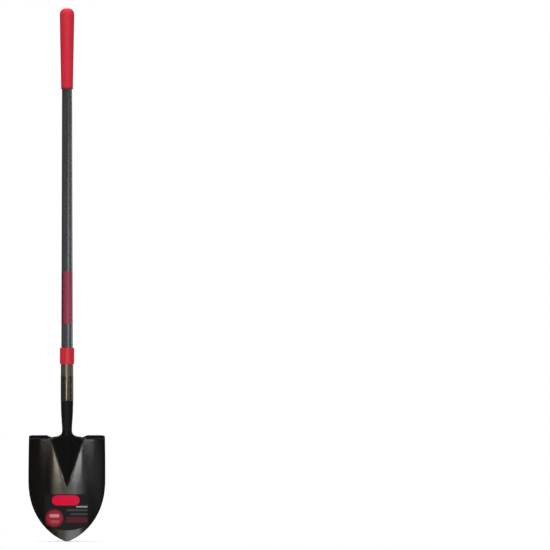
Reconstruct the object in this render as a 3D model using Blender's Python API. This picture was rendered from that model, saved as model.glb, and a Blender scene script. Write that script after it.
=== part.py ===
"""Long-handled round-point shovel, standing upright on its point.

Metres, +Z up. The front of the blade faces -Y. The pole runs up the vertical line x = 0, y = pole_y().
Every piece is modelled round that line and carried by the empty "shovel".
"""

import math

import bmesh
import bpy
from mathutils import Matrix

GAP = 0.0003

OVERALL_LENGTH = 1.470
ROUND_SEGMENTS = 40

# Blade sheet, seen from the front
SHEET = 0.0019
BLADE_HALF_WIDTH = 0.1053
BLADE_WIDEST_Z = 0.175
POINT_FULLNESS = 2.4
POINT_ROUNDING = 0.72
SHOULDER_HALF_WIDTH = 0.1042
STEP_EDGE_Z = 0.2905
VALLEY_Z = 0.2865

# Blade sheet, seen from the side: how far it leans forward and how deep it is dished
BLADE_SET_BACK = 0.007
LIFT_AT_TOP = math.radians(8.0)
LIFT_AT_POINT = math.radians(16.0)
DISH_DEPTH = 0.024
DISH_POWER = 2.1

# Frog: the raised ridge that runs from the socket's front down into the blade
FROG_POINT_Z = 0.150
CREASE_HALF_WIDTH_TOP = 0.0445
CREASE_HALF_WIDTH_LOW = 0.003
CREASE_SHARE_LIMIT = 0.45
FLANK_SLOPE = math.radians(23.0)

# Foot steps, turned forward
STEP_BEND_RADIUS = 0.005
STEP_SLOPE = math.radians(66.0)
STEP_LENGTH = 0.014
STEP_CORNER_SHARE = 0.6
STEP_INNER_SHARE = 0.10

# Socket rolled from the blade's neck, seam at the back
NECK_Z = 0.298
NECK_RADIUS = 0.0132
SEAM_CLOSED_Z = 0.330
SOCKET_SHOULDER_Z = 0.365
SOCKET_RADIUS = 0.01665
SOCKET_TOP_Z = 0.3864
SOCKET_TOP_RADIUS = 0.01720
SPIGOT_TOP_Z = 0.466
SPIGOT_RADIUS = 0.01590
SEAM_HALF_GAP = 0.0006
NECK_ROLL_POWER = 6.0

# Steel sleeve over the spigot
SLEEVE_WALL = 0.0011
SLEEVE_STEP_Z = 0.455
SLEEVE_STEP_HEIGHT = 0.001
SLEEVE_RADIUS = 0.01720
SLEEVE_LOWER_RADIUS = 0.01745

# Plastic ring over the sleeve's top and the pole
RING_BOTTOM_Z = 0.4885
RING_TOP_Z = 0.533
RING_RADIUS = 0.01965
RING_CHAMFER = 0.0014
RING_SHOULDER_Z = 0.501

# Pole: a tapered fibreglass tube with a turned-down lower end
POLE_BOTTOM_Z = 0.368
POLE_SHOULDER_Z = 0.482
POLE_TENON_RADIUS = 0.01360
POLE_BASE_RADIUS = 0.01590
POLE_TAPER = 0.00248
POLE_TOP_Z = 1.440
POLE_BORE_RADIUS = 0.01040

CORE_BOTTOM_Z = 0.322
CORE_TOP_Z = 0.640
CORE_END_RADIUS = 0.0088

PLUG_DEPTH = 0.030
PLUG_HEAD = 0.004

# Grip
GRIP_BOTTOM_Z = 1.247
GRIP_BOTTOM_RADIUS = 0.01615
GRIP_TOP_RADIUS = 0.01995
GRIP_END_FLAT_RADIUS = 0.0055
GRIP_DOME = 0.018
GRIP_BOTTOM_ROUND = 0.0008

# Rivet, along Y, through sleeve, socket, pole and core
RIVET_Z = 0.447
RIVET_RADIUS = 0.0030
RIVET_HEAD_RADIUS = 0.0050
RIVET_HEAD_HEIGHT = 0.0024
RIVET_TAIL_RADIUS = 0.0043
RIVET_TAIL_HEIGHT = 0.0017
WASHER_RADIUS = 0.0062
WASHER_THICKNESS = 0.0012
CUTTER_REACH = 0.03

# Labels
LABEL_GAP = 0.0005
LABEL_THICKNESS = 0.0003
POLE_LABEL_BOTTOM_Z = 0.599
POLE_LABEL_TOP_Z = 0.744
POLE_LABEL_FROM = math.radians(-78.0)
POLE_LABEL_TO = math.radians(60.0)
BLADE_LABEL_HALF_WIDTH = 0.060
BLADE_LABEL_TOP_Z = 0.129
BLADE_LABEL_BOTTOM_Z = 0.030
BLADE_LABEL_CORNER_RISE = 0.016

# Grid of the blade sheet
BLADE_ROWS = 22
ROW_CROWDING = 1.5
STRIP_COLUMNS = 22
WING_STATIONS = (0.0, 0.035, 0.12, 0.24, 0.40, 0.57, 0.74, 0.88, 0.96, 1.0)
ROLL_ROWS = 10
SOCKET_ROWS = 5
SPIGOT_ROWS = 2
STEP_BEND_ROWS = 3
STEP_LENGTH_ROWS = 2
ROLL_CROWDING = 1.5
GRIP_DOME_ROWS = 8
RIVET_DOME_ROWS = 4

# The wing station from which a foot step has its full size
STEP_FULL_FROM = WING_STATIONS[3]

COLOURS = {
    "blade_socket": ((0.012, 0.012, 0.012), 0.35, 0.6),
    "collar_sleeve": ((0.13, 0.115, 0.085), 0.30, 0.9),
    "collar_ring": ((0.60, 0.03, 0.06), 0.30, 0.0),
    "pole": ((0.075, 0.078, 0.082), 0.40, 0.0),
    "core_dowel": ((0.45, 0.30, 0.16), 0.70, 0.0),
    "end_plug": ((0.04, 0.04, 0.04), 0.50, 0.0),
    "grip": ((0.58, 0.035, 0.065), 0.60, 0.0),
    "rivet": ((0.30, 0.27, 0.23), 0.30, 1.0),
    "rivet_washer": ((0.32, 0.30, 0.27), 0.35, 1.0),
    "pole_label": ((0.22, 0.035, 0.07), 0.35, 0.0),
    "blade_label": ((0.015, 0.015, 0.016), 0.35, 0.0),
}


def smooth_step(t):
    t = min(max(t, 0.0), 1.0)
    return t * t * (3.0 - 2.0 * t)


def spread(low, high, count):
    """count values from just past low up to high, evenly spaced."""
    return [low + (high - low) * (i + 1) / count for i in range(count)]


# ---------------------------------------------------------------- blade shape


def half_width(z):
    """Half the blade's width at a height, from the blunt nose to the square shoulders."""
    if z < BLADE_WIDEST_Z:
        below_widest = 1.0 - z / BLADE_WIDEST_Z
        return BLADE_HALF_WIDTH * (1.0 - below_widest**POINT_FULLNESS) ** POINT_ROUNDING
    along = (z - BLADE_WIDEST_Z) / (VALLEY_Z - BLADE_WIDEST_Z)
    return BLADE_HALF_WIDTH - (BLADE_HALF_WIDTH - SHOULDER_HALF_WIDTH) * along**2


def crease_half_width(z):
    """Half the width of the frog, which narrows in a straight V to its point."""
    along = (z - FROG_POINT_Z) / (VALLEY_Z - FROG_POINT_Z)
    wide = CREASE_HALF_WIDTH_LOW + (CREASE_HALF_WIDTH_TOP - CREASE_HALF_WIDTH_LOW) * max(along, 0.0)
    return min(wide, CREASE_SHARE_LIMIT * half_width(z))


def blade_y(x, z):
    """The dished front face without the frog."""
    down = VALLEY_Z - z
    lean = math.tan(LIFT_AT_TOP)
    bend = (math.tan(LIFT_AT_POINT) - lean) / (2.0 * VALLEY_Z)
    dish = DISH_DEPTH * (abs(x) / BLADE_HALF_WIDTH) ** DISH_POWER
    return BLADE_SET_BACK - lean * down - bend * down**2 - dish


def crest_y(z):
    """The frog's crest: a straight line from the neck's front to the blade at the frog's point."""
    low = blade_y(0.0, FROG_POINT_Z)
    along = (z - FROG_POINT_Z) / (NECK_Z - FROG_POINT_Z)
    return low + (-NECK_RADIUS - low) * along


def flank_fall(share):
    """How far the frog falls away from its crest: an arc of the neck's radius and then a straight flank."""
    arc = NECK_RADIUS / CREASE_HALF_WIDTH_TOP
    arc_end = arc * math.sin(FLANK_SLOPE)
    if share < arc_end:
        return arc - math.sqrt(arc**2 - share**2)
    return arc * (1.0 - math.cos(FLANK_SLOPE)) + (share - arc_end) * math.tan(FLANK_SLOPE)


def front_y(x, z):
    """The front face with the frog."""
    face = blade_y(x, z)
    crease = crease_half_width(z)
    if z <= FROG_POINT_Z or abs(x) >= crease:
        return face
    ridge = blade_y(0.0, z) - crest_y(z)
    return face - ridge * (1.0 - flank_fall(abs(x) / crease) / flank_fall(1.0))


def socket_radius(z):
    """Outer radius of the neck and socket, below the spigot."""
    body = smooth_step((z - NECK_Z) / (SOCKET_SHOULDER_Z - NECK_Z))
    flare = max((z - SOCKET_SHOULDER_Z) / (SOCKET_TOP_Z - SOCKET_SHOULDER_Z), 0.0)
    return NECK_RADIUS + (SOCKET_RADIUS - NECK_RADIUS) * body + (SOCKET_TOP_RADIUS - SOCKET_RADIUS) * flare


def rolled_point(u, z, radius):
    """A point on the rolled socket; u runs from -1 to 1 round the front, from seam edge to seam edge."""
    angle = u * (math.pi - SEAM_HALF_GAP / radius)
    return (radius * math.sin(angle), -radius * math.cos(angle), z)


def neck_point(u, close):
    """Between the frog's open section, where close is 0, and the rolled socket, where it is 1."""
    up = 1.0 - (1.0 - close) ** (1.0 / NECK_ROLL_POWER)
    z = VALLEY_Z + (SEAM_CLOSED_Z - VALLEY_Z) * up
    x = u * CREASE_HALF_WIDTH_TOP
    open_point = (x, front_y(x, VALLEY_Z), z)
    closed_point = rolled_point(u, z, socket_radius(z))
    return tuple(a + (b - a) * close for a, b in zip(open_point, closed_point))


def pole_radius(z):
    return POLE_BASE_RADIUS - POLE_TAPER * (z - POLE_SHOULDER_Z)


def pole_y():
    """Where the pole's axis stands, so that the origin is under the middle of the whole shovel."""
    foremost = blade_y(0.0, 0.0)
    return -(foremost + GRIP_TOP_RADIUS) / 2.0


# ---------------------------------------------------------------- mesh helpers


def finish(name, bm, carrier):
    """Turn a bmesh into a smooth-shaded object with its own material."""
    mesh = bpy.data.meshes.new(name)
    bm.to_mesh(mesh)
    bm.free()
    mesh.shade_smooth()
    mesh.set_sharp_from_angle(angle=math.radians(40.0))
    obj = bpy.data.objects.new(name, mesh)
    bpy.context.scene.collection.objects.link(obj)
    obj.parent = carrier
    colour, roughness, metallic = COLOURS[name]
    material = bpy.data.materials.new(name)
    material.use_nodes = True
    shader = material.node_tree.nodes["Principled BSDF"]
    shader.inputs["Base Color"].default_value = (*colour, 1.0)
    shader.inputs["Roughness"].default_value = roughness
    shader.inputs["Metallic"].default_value = metallic
    mesh.materials.append(material)
    return obj


def turned(profile, closed=False):
    """Turn (radius, z) points round the vertical axis. A closed profile makes a tube."""
    bm = bmesh.new()
    rings = []
    for radius, z in profile:
        if radius == 0.0:
            rings.append([bm.verts.new((0.0, 0.0, z))])
            continue
        ring = []
        for i in range(ROUND_SEGMENTS):
            angle = 2.0 * math.pi * i / ROUND_SEGMENTS
            ring.append(bm.verts.new((radius * math.cos(angle), radius * math.sin(angle), z)))
        rings.append(ring)
    pairs = list(zip(rings, rings[1:]))
    if closed:
        pairs.append((rings[-1], rings[0]))
    for upper, lower in pairs:
        for i in range(ROUND_SEGMENTS):
            j = (i + 1) % ROUND_SEGMENTS
            top_edge = [upper[i % len(upper)], upper[j % len(upper)]]
            low_edge = [lower[j % len(lower)], lower[i % len(lower)]]
            bm.faces.new(list(dict.fromkeys(top_edge + low_edge)))
    bmesh.ops.recalc_face_normals(bm, faces=bm.faces)
    return bm


def lay_along_y(bm, z):
    """Turn a piece made along +Z so that it lies along Y, its top towards the front, at height z."""
    lay = Matrix.Rotation(math.pi / 2, 4, "X")
    bmesh.ops.transform(bm, matrix=Matrix.Translation((0.0, 0.0, z)) @ lay, verts=bm.verts)
    return bm


def add_patch(bm, grid):
    """Faces between the rows of a grid of vertices, facing the front."""
    for low, high in zip(grid, grid[1:]):
        for j in range(len(low) - 1):
            bm.faces.new((low[j], low[j + 1], high[j + 1], high[j]))


def thicken(obj, thickness, offset):
    skin = obj.modifiers.new("thickness", "SOLIDIFY")
    skin.thickness = thickness
    skin.offset = offset


def drill(obj, cutter):
    hole = obj.modifiers.new("rivet hole", "BOOLEAN")
    hole.operation = "DIFFERENCE"
    hole.solver = "EXACT"
    hole.object = cutter


# ---------------------------------------------------------------- pieces


def blade_columns():
    """The sheet's columns from left to right, as signed stations.

    A station up to 1 lies on the frog's strip, and one from 1 to 2 on the wing beyond the crease.
    """
    wing = [1.0 + w for w in WING_STATIONS[1:]]
    strip = [-1.0 + 2.0 * j / STRIP_COLUMNS for j in range(STRIP_COLUMNS + 1)]
    return [-s for s in reversed(wing)] + strip + wing


def column_x(station, z):
    """Where a column stands at a height, between the axis, the crease and the blade's edge."""
    crease = crease_half_width(z)
    side = math.copysign(1.0, station)
    reach = abs(station)
    if reach <= 1.0:
        return side * reach * crease
    return side * (crease + (reach - 1.0) * (half_width(z) - crease))


def step_size(station):
    """The step's size from 0 to 1: it fades out towards the frog."""
    wing = abs(station) - 1.0
    return STEP_INNER_SHARE + (1.0 - STEP_INNER_SHARE) * smooth_step(wing / STEP_FULL_FROM)


def step_length(station):
    """The step's straight part, shorter at its rounded outer corner."""
    corner = smooth_step((WING_STATIONS[-3] - abs(station) + 1.0) / (WING_STATIONS[-3] - 1.0))
    return STEP_LENGTH * (1.0 - (1.0 - STEP_CORNER_SHARE) * corner)


def step_path(station):
    """Points of the step as (forward, up) from its root: a bend and then a straight flange."""
    size = step_size(station)
    points = []
    for turn in spread(-LIFT_AT_TOP, STEP_SLOPE, STEP_BEND_ROWS):
        forward = STEP_BEND_RADIUS * (math.cos(LIFT_AT_TOP) - math.cos(turn))
        up = STEP_BEND_RADIUS * (math.sin(LIFT_AT_TOP) + math.sin(turn))
        points.append((forward, up))
    forward, up = points[-1]
    for length in spread(0.0, step_length(station), STEP_LENGTH_ROWS):
        points.append((forward + length * math.sin(STEP_SLOPE), up + length * math.cos(STEP_SLOPE)))
    return [(size * forward, size * up) for forward, up in points]


def column_top(station):
    """Where the blade's column ends: at the valley beside the frog, or at the root of the step.

    The step's free edge comes out level.
    """
    if abs(station) <= 1.0:
        return VALLEY_Z
    bend_rise = STEP_BEND_RADIUS * (math.sin(LIFT_AT_TOP) + math.sin(STEP_SLOPE))
    rise = bend_rise + STEP_LENGTH * math.cos(STEP_SLOPE)
    level = VALLEY_Z + (STEP_EDGE_Z - VALLEY_Z) * smooth_step((abs(station) - 1.0) / STEP_FULL_FROM)
    return level - rise * step_size(station)


def make_blade_socket(carrier):
    bm = bmesh.new()
    columns = blade_columns()
    nose_z = SHEET * math.sin(LIFT_AT_POINT)
    rows = []
    for i in range(BLADE_ROWS + 1):
        share = (i / BLADE_ROWS) ** ROW_CROWDING
        row = []
        for station in columns:
            z = nose_z + (column_top(station) - nose_z) * share
            x = column_x(station, z)
            row.append(bm.verts.new((x, front_y(x, z), z)))
        rows.append(row)
    add_patch(bm, rows)
    top = rows[-1]

    first = len(WING_STATIONS) - 1
    strip = [top[first : first + STRIP_COLUMNS + 1]]
    positions = columns[first : first + STRIP_COLUMNS + 1]
    for share in spread(0.0, 1.0, ROLL_ROWS):
        close = 1.0 - (1.0 - share) ** ROLL_CROWDING
        strip.append([bm.verts.new(neck_point(u, close)) for u in positions])
    for z in spread(SEAM_CLOSED_Z, SOCKET_TOP_Z, SOCKET_ROWS):
        strip.append([bm.verts.new(rolled_point(u, z, socket_radius(z))) for u in positions])
    for z in [SOCKET_TOP_Z] + spread(SOCKET_TOP_Z, SPIGOT_TOP_Z, SPIGOT_ROWS):
        strip.append([bm.verts.new(rolled_point(u, z, SPIGOT_RADIUS)) for u in positions])
    add_patch(bm, strip)

    for wing in (columns[:first], columns[first + STRIP_COLUMNS + 1 :]):
        roots = [top[columns.index(station)] for station in wing]
        step = [roots]
        for level in range(STEP_BEND_ROWS + STEP_LENGTH_ROWS):
            line = []
            for station, root in zip(wing, roots):
                forward, up = step_path(station)[level]
                line.append(bm.verts.new((root.co.x, root.co.y - forward, root.co.z + up)))
            step.append(line)
        add_patch(bm, step)

    obj = finish("blade_socket", bm, carrier)
    thicken(obj, SHEET, -1.0)
    return obj


def make_collar_sleeve(carrier):
    inner = SLEEVE_RADIUS - SLEEVE_WALL
    profile = [
        (SLEEVE_RADIUS, RING_SHOULDER_Z - 2 * GAP),
        (SLEEVE_RADIUS, SLEEVE_STEP_Z + SLEEVE_STEP_HEIGHT),
        (SLEEVE_LOWER_RADIUS, SLEEVE_STEP_Z),
        (SLEEVE_LOWER_RADIUS, SOCKET_TOP_Z + GAP),
        (inner, SOCKET_TOP_Z + GAP),
        (inner, RING_SHOULDER_Z - 2 * GAP),
    ]
    return finish("collar_sleeve", turned(profile, closed=True), carrier)


def make_collar_ring(carrier):
    lower_bore = SLEEVE_RADIUS + GAP
    upper_bore = pole_radius(RING_SHOULDER_Z) + GAP
    profile = [
        (RING_RADIUS - RING_CHAMFER, RING_TOP_Z),
        (RING_RADIUS, RING_TOP_Z - RING_CHAMFER),
        (RING_RADIUS, RING_BOTTOM_Z + RING_CHAMFER),
        (RING_RADIUS - RING_CHAMFER, RING_BOTTOM_Z),
        (lower_bore, RING_BOTTOM_Z),
        (lower_bore, RING_SHOULDER_Z),
        (upper_bore, RING_SHOULDER_Z),
        (upper_bore, RING_TOP_Z),
    ]
    return finish("collar_ring", turned(profile, closed=True), carrier)


def make_pole(carrier):
    profile = [
        (pole_radius(POLE_TOP_Z), POLE_TOP_Z),
        (pole_radius(POLE_SHOULDER_Z), POLE_SHOULDER_Z),
        (POLE_TENON_RADIUS, POLE_SHOULDER_Z),
        (POLE_TENON_RADIUS, POLE_BOTTOM_Z),
        (POLE_BORE_RADIUS, POLE_BOTTOM_Z),
        (POLE_BORE_RADIUS, POLE_TOP_Z),
    ]
    return finish("pole", turned(profile, closed=True), carrier)


def make_core_dowel(carrier):
    radius = POLE_BORE_RADIUS - GAP
    profile = [
        (0.0, CORE_TOP_Z),
        (radius, CORE_TOP_Z),
        (radius, POLE_BOTTOM_Z),
        (CORE_END_RADIUS, CORE_BOTTOM_Z),
        (0.0, CORE_BOTTOM_Z),
    ]
    return finish("core_dowel", turned(profile), carrier)


def make_end_plug(carrier):
    stem = POLE_BORE_RADIUS - GAP
    head = pole_radius(POLE_TOP_Z)
    profile = [
        (0.0, POLE_TOP_Z + GAP + PLUG_HEAD),
        (head, POLE_TOP_Z + GAP + PLUG_HEAD),
        (head, POLE_TOP_Z + GAP),
        (stem, POLE_TOP_Z + GAP),
        (stem, POLE_TOP_Z - PLUG_DEPTH),
        (0.0, POLE_TOP_Z - PLUG_DEPTH),
    ]
    return finish("end_plug", turned(profile), carrier)


def grip_dome(turn):
    """A point on the grip's rounded end, from the rim of its flat at 0 to the side at a quarter turn."""
    radius = GRIP_END_FLAT_RADIUS + (GRIP_TOP_RADIUS - GRIP_END_FLAT_RADIUS) * math.sin(turn)
    return (radius, OVERALL_LENGTH - GRIP_DOME + GRIP_DOME * math.cos(turn))


def make_grip(carrier):
    cavity_top = POLE_TOP_Z + 2 * GAP + PLUG_HEAD
    bore_top = pole_radius(POLE_TOP_Z) + GAP
    bore_bottom = pole_radius(GRIP_BOTTOM_Z) + GAP
    profile = [(0.0, OVERALL_LENGTH), grip_dome(0.0)]
    profile += [grip_dome(turn) for turn in spread(0.0, math.pi / 2, GRIP_DOME_ROWS)]
    profile += [
        (GRIP_BOTTOM_RADIUS, GRIP_BOTTOM_Z + GRIP_BOTTOM_ROUND),
        (GRIP_BOTTOM_RADIUS - GRIP_BOTTOM_ROUND, GRIP_BOTTOM_Z),
        (bore_bottom, GRIP_BOTTOM_Z),
        (bore_top, POLE_TOP_Z),
        (bore_top, cavity_top),
        (0.0, cavity_top),
    ]
    return finish("grip", turned(profile), carrier)


def make_rivet(carrier):
    front = SLEEVE_LOWER_RADIUS + GAP
    back = SLEEVE_LOWER_RADIUS + 2 * GAP + WASHER_THICKNESS
    dome = [
        (RIVET_HEAD_RADIUS * math.sin(turn), front + RIVET_HEAD_HEIGHT * math.cos(turn))
        for turn in spread(0.0, math.pi / 2, RIVET_DOME_ROWS)
    ]
    profile = [(0.0, front + RIVET_HEAD_HEIGHT)] + dome
    profile += [
        (RIVET_RADIUS, front),
        (RIVET_RADIUS, -back),
        (RIVET_TAIL_RADIUS, -back),
        (RIVET_TAIL_RADIUS, -back - RIVET_TAIL_HEIGHT / 2),
        (RIVET_TAIL_RADIUS / 2, -back - RIVET_TAIL_HEIGHT),
        (0.0, -back - RIVET_TAIL_HEIGHT),
    ]
    return finish("rivet", lay_along_y(turned(profile), RIVET_Z), carrier)


def make_rivet_washer(carrier):
    near = SLEEVE_LOWER_RADIUS + GAP
    bore = RIVET_RADIUS + GAP
    profile = [
        (WASHER_RADIUS, -near),
        (WASHER_RADIUS, -near - WASHER_THICKNESS),
        (bore, -near - WASHER_THICKNESS),
        (bore, -near),
    ]
    return finish("rivet_washer", lay_along_y(turned(profile, closed=True), RIVET_Z), carrier)


def make_rivet_cutter(carrier):
    """A rod a little wider than the rivet's shank, which drills every piece that the rivet goes through."""
    radius = RIVET_RADIUS + GAP
    profile = [(0.0, CUTTER_REACH), (radius, CUTTER_REACH), (radius, -CUTTER_REACH), (0.0, -CUTTER_REACH)]
    bm = lay_along_y(turned(profile), RIVET_Z)
    mesh = bpy.data.meshes.new("rivet_cutter")
    bm.to_mesh(mesh)
    bm.free()
    cutter = bpy.data.objects.new("rivet_cutter", mesh)
    bpy.context.scene.collection.objects.link(cutter)
    cutter.parent = carrier
    cutter.hide_render = True
    cutter.display_type = "WIRE"
    return cutter


def make_pole_label(carrier):
    bm = bmesh.new()
    columns = 14
    grid = []
    for z in (POLE_LABEL_BOTTOM_Z, POLE_LABEL_TOP_Z):
        radius = pole_radius(z) + LABEL_GAP
        row = []
        for j in range(columns + 1):
            angle = POLE_LABEL_FROM + (POLE_LABEL_TO - POLE_LABEL_FROM) * j / columns
            row.append(bm.verts.new((radius * math.sin(angle), -radius * math.cos(angle), z)))
        grid.append(row)
    add_patch(bm, grid)
    obj = finish("pole_label", bm, carrier)
    thicken(obj, LABEL_THICKNESS, 1.0)
    return obj


def make_blade_label(carrier):
    bm = bmesh.new()
    columns, rows = 12, 6
    grid = []
    for i in range(rows + 1):
        row = []
        for j in range(columns + 1):
            side = 2.0 * j / columns - 1.0
            bottom = BLADE_LABEL_BOTTOM_Z + BLADE_LABEL_CORNER_RISE * side**2
            x = side * BLADE_LABEL_HALF_WIDTH
            z = bottom + (BLADE_LABEL_TOP_Z - bottom) * i / rows
            row.append(bm.verts.new((x, front_y(x, z) - LABEL_GAP, z)))
        grid.append(row)
    add_patch(bm, grid)
    obj = finish("blade_label", bm, carrier)
    thicken(obj, LABEL_THICKNESS, 1.0)
    return obj


def main():
    for old in list(bpy.data.objects):
        bpy.data.objects.remove(old, do_unlink=True)
    carrier = bpy.data.objects.new("shovel", None)
    carrier.location = (0.0, pole_y(), 0.0)
    bpy.context.scene.collection.objects.link(carrier)

    cutter = make_rivet_cutter(carrier)
    drilled = (make_blade_socket, make_collar_sleeve, make_pole, make_core_dowel)
    for make in drilled:
        drill(make(carrier), cutter)
    for make in (make_collar_ring, make_end_plug, make_grip, make_rivet, make_rivet_washer):
        make(carrier)
    make_pole_label(carrier)
    make_blade_label(carrier)


main()
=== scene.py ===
"""Looks of the long-handled round-point shovel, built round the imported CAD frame.

Metres, +Z up, the front of the blade faces -Y. Each new piece is modelled round the pole's axis and then
stands on it. The blade repeats the CAD's formulas on a finer grid. The other pieces start from the boxes of
their CAD nodes and repeat the CAD's steps and tapers.
"""
import math

import bmesh
import bpy
from mathutils import Matrix, Vector
from mathutils.kdtree import KDTree


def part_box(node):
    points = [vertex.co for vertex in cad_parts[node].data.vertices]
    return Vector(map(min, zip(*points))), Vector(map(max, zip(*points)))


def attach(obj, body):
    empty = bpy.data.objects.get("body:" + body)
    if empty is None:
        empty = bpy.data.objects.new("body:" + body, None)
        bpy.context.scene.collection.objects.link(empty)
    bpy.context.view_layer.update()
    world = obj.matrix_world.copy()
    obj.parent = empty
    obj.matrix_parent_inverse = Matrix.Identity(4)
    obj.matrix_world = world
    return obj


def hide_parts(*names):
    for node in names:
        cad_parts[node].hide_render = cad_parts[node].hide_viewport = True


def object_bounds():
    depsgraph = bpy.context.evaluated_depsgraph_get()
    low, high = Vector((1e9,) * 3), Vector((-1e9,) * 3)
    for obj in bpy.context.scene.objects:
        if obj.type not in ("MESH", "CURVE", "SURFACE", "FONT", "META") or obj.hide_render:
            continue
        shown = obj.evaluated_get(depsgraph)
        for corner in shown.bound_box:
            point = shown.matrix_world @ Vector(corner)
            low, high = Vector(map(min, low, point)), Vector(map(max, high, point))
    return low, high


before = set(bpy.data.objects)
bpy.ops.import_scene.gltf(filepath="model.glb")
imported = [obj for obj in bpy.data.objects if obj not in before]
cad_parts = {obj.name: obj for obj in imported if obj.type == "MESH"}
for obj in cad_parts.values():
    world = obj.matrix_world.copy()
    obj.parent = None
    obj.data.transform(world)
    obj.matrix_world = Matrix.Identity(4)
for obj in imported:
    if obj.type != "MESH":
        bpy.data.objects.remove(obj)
CAD_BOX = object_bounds()
POLE_LOW, POLE_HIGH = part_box("pole")
AXIS = Vector((0.0, (POLE_LOW.y + POLE_HIGH.y) / 2.0, 0.0))

GAP = 0.0003
ROUND_SEGMENTS = 192
BACK = math.pi
BOTH_SIDES = (math.pi / 2, -math.pi / 2)

# Blade sheet, seen from the front
SHEET = 0.0019
SHEET_EDGE_ROUND = 0.0005
SHARP_EDGE_ANGLE = math.radians(50.0)
BLADE_HALF_WIDTH = 0.1053
BLADE_WIDEST_Z = 0.175
POINT_FULLNESS = 2.4
POINT_ROUNDING = 0.72
SHOULDER_HALF_WIDTH = 0.1042
STEP_EDGE_Z = 0.2905
VALLEY_Z = 0.2865

# Blade sheet, seen from the side
BLADE_SET_BACK = 0.007
LIFT_AT_TOP = math.radians(8.0)
LIFT_AT_POINT = math.radians(16.0)
DISH_DEPTH = 0.024
DISH_POWER = 2.1

# Frog
FROG_POINT_Z = 0.150
CREASE_HALF_WIDTH_TOP = 0.0445
CREASE_HALF_WIDTH_LOW = 0.003
CREASE_SHARE_LIMIT = 0.45
FLANK_SLOPE = math.radians(23.0)
CREASE_FILLET = 0.0013
FILLET_FULL_RIDGE = 0.004

# Foot steps
STEP_BEND_RADIUS = 0.005
STEP_SLOPE = math.radians(66.0)
STEP_LENGTH = 0.014
STEP_CORNER_SHARE = 0.6
STEP_CORNER_WING = 0.88
STEP_INNER_SHARE = 0.03
STEP_FADE_WING = 0.24

# Neck and socket
NECK_Z = 0.298
NECK_RADIUS = 0.0132
SEAM_CLOSED_Z = 0.330
SOCKET_SHOULDER_Z = 0.365
SOCKET_RADIUS = 0.01665
SOCKET_TOP_Z = 0.3864
SOCKET_TOP_RADIUS = 0.01720
SPIGOT_TOP_Z = 0.466
SPIGOT_RADIUS = 0.01590
SEAM_HALF_GAP = 0.0006
NECK_ROLL_POWER = 6.0
DUST_FROM_Z = 0.2805
DUST_FULL_Z = 0.308

# Where the pressed sheet flows from frog and steps into the neck
FLOW_FROM_Z = 0.270
FLOW_TO_Z = 0.326
FLOW_HALF_WIDTH = 0.052
FLOW_ROUNDS = 14

# Grid of the blade sheet
BLADE_ROWS = 150
ROW_CROWDING = 1.4
STRIP_COLUMNS = 88
WING_COLUMNS = 38
WING_CROWDING = 1.5
ROLL_ROWS = 48
ROLL_CROWDING = 1.5
SOCKET_ROWS = 24
STEP_BEND_ROWS = 10
STEP_LENGTH_ROWS = 6
RIM_REACH = 0.004

# Sleeve
SLEEVE_WALL = 0.0011
SLEEVE_STEP_Z = 0.455
SLEEVE_STEP_HEIGHT = 0.001
SLEEVE_STEP_DEPTH = 0.00025
SLEEVE_EDGE = 0.0004
SLEEVE_SEAM_WIDTH = 0.0004
SLEEVE_SEAM_DEPTH = 0.00022
SLEEVE_TONE_FADE = 0.0006

# Ring
RING_SHOULDER_Z = 0.501
RING_CHAMFER = 0.0006
RING_CHAMFER_HEIGHT = 0.0016
RING_EDGE = 0.0007
RING_MOULD_LINE_WIDTH = 0.0004
RING_MOULD_LINE_HEIGHT = 0.00010

# Pole
POLE_SHOULDER_Z = 0.482
POLE_TENON_RADIUS = 0.01360
POLE_TAPER = 0.00248
POLE_BORE_RADIUS = 0.01040
POLE_EDGE = 0.0004

# Grip
GRIP_END_FLAT_RADIUS = 0.0055
GRIP_BOTTOM_RADIUS = 0.0162
GRIP_DOME = 0.018
GRIP_DOME_ROWS = 16
GRIP_LIP = 0.003
GRIP_LIP_DEPTH = 0.00025
GRIP_LIP_SLOPE_HEIGHT = 0.0008
GRIP_EDGE = 0.0006
GRIP_MOULD_LINE_WIDTH = 0.0005
GRIP_MOULD_LINE_HEIGHT = 0.00014

# Rivet and washer
RIVET_Z = 0.447
RIVET_RADIUS = 0.0030
RIVET_HEAD_HEIGHT = 0.0024
RIVET_TAIL_RADIUS = 0.0043
RIVET_TAIL_HEIGHT = 0.0017
RIVET_EDGE = 0.0003
RIVET_SEGMENTS = 64
RIVET_DOME_ROWS = 14
WASHER_EDGE = 0.0002

# Labels
FILM_GAP = 0.00012
FILM_THICKNESS = 0.00022
LABEL_CORNER = 0.004
LABEL_CORNER_ROWS = 8
POLE_LABEL_FROM = math.radians(-78.0)
POLE_LABEL_TO = math.radians(60.0)
POLE_LABEL_COLUMNS = 64
POLE_LABEL_ROWS = 24
# Where the painted shade on the pole label's left side is full, and how far it fades.
POLE_LABEL_SHADE_X = 0.0145
POLE_LABEL_SHADE_FADE = 0.006
BLADE_LABEL_CORNER_RISE = 0.016
BLADE_LABEL_COLUMNS = 80
BLADE_LABEL_ROWS = 48
PRINT_SOFTNESS = 0.0002

# Studio
FLOOR_RADIUS = 1.0
FLOOR_DROP = 0.0005
WORLD_ON_MATTE = 0.30
WORLD_IN_GLOSS = 0.06
PANEL_DISTANCE = 6.0
BLADE_MIDDLE_Z = 0.2
WHITE = (1.0, 1.0, 1.0)
WARM = (1.0, 0.88, 0.70)
COOL = (0.93, 0.97, 1.0)

# Camera
CAMERA_DISTANCE = 40.0
CAMERA_SIDE = 0.574
CAMERA_HEIGHT = 0.734
VIEW_WIDTH = 1.518
SENSOR = 36.0


# ---------------------------------------------------------------- small sums


def smooth_step(t):
    t = min(max(t, 0.0), 1.0)
    return t * t * (3.0 - 2.0 * t)


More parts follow.
